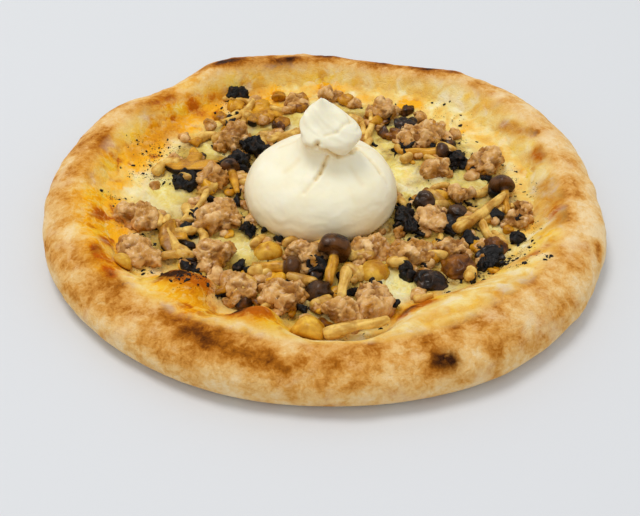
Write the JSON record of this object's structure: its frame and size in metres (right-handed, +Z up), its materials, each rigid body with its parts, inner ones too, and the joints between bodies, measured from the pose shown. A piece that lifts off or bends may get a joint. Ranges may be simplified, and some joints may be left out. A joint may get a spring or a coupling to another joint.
{
  "type": "white pizza",
  "caption": "Round white pizza with a puffed, browned rim, melted cheese, crumbled sausage, small long-stemmed mushrooms and a whole tied burrata on top.",
  "frame": {"origin": "centre of the flat underside of the base, where the pizza rests", "axes": "+Z up out of the toppings, -Y towards the eater's side that the picture shows nearest, +X to that view's right"},
  "size_m": [0.3011, 0.2998, 0.0704],
  "materials": {
    "crust": "baked dough, pale and floury low down, golden to brown on top, with dark toasted spots",
    "melted_cheese": "melted mozzarella, pale yellow and oily, golden where toasted",
    "fresh_cheese": "smooth moist fresh cheese, off-white, a little translucent",
    "sausage": "crumbled cooked pork sausage, pinkish tan, rough and moist",
    "mushroom": "cooked beech mushroom, golden stem and brown cap, glossy with oil",
    "mushroom_stem": "cooked mushroom stem, pale golden, fibrous and glossy",
    "mushroom_flesh": "cut mushroom, golden flesh with a dark skin along its edge",
    "brown_cap": "cooked mushroom cap, brown and glossy",
    "dark_cap": "cooked mushroom cap, nearly black and glossy",
    "golden_cap": "cooked mushroom cap, golden yellow and oily",
    "charred": "blackened mushroom shreds, wrinkled and dull"
  },
  "bodies": {
    "root": {"black_shred_01": "charred", "black_shred_02": "charred", "black_shred_03": "charred", "black_shred_04": "charred", "black_shred_05": "charred", "black_shred_06": "charred", "brown_cap_01": "brown_cap", "brown_cap_02": "brown_cap", "burrata": "fresh_cheese", "cheese": "melted_cheese", "dark_cap_01": "dark_cap", "dark_cap_02": "dark_cap", "dark_cap_03": "dark_cap", "dark_cap_04": "dark_cap", "dough": "crust", "golden_cap_01": "golden_cap", "golden_cap_02": "golden_cap", "golden_cap_03": "golden_cap", "golden_cap_04": "golden_cap", "golden_cap_05": "golden_cap", "mushroom_01": "mushroom", "mushroom_02": "mushroom", "mushroom_03": "mushroom", "mushroom_04": "mushroom", "mushroom_05": "mushroom", "mushroom_slice_01": "mushroom_flesh", "mushroom_slice_02": "mushroom_flesh", "mushroom_slice_03": "mushroom_flesh", "mushroom_stem_01": "mushroom_stem", "mushroom_stem_02": "mushroom_stem", "mushroom_stem_03": "mushroom_stem", "mushroom_stem_04": "mushroom_stem", "mushroom_stem_05": "mushroom_stem", "mushroom_stem_06": "mushroom_stem", "mushroom_stem_07": "mushroom_stem", "mushroom_stem_08": "mushroom_stem", "mushroom_stem_09": "mushroom_stem", "mushroom_stem_10": "mushroom_stem", "mushroom_stem_11": "mushroom_stem", "sausage_01": "sausage", "sausage_02": "sausage", "sausage_03": "sausage", "sausage_04": "sausage", "sausage_05": "sausage", "sausage_06": "sausage", "sausage_07": "sausage", "sausage_08": "sausage", "sausage_09": "sausage", "sausage_10": "sausage", "sausage_11": "sausage", "sausage_12": "sausage", "sausage_13": "sausage", "sausage_14": "sausage", "sausage_15": "sausage", "sausage_16": "sausage", "sausage_17": "sausage", "sausage_18": "sausage", "sausage_19": "sausage", "sausage_20": "sausage", "sausage_21": "sausage"}
  },
  "joints": []
}
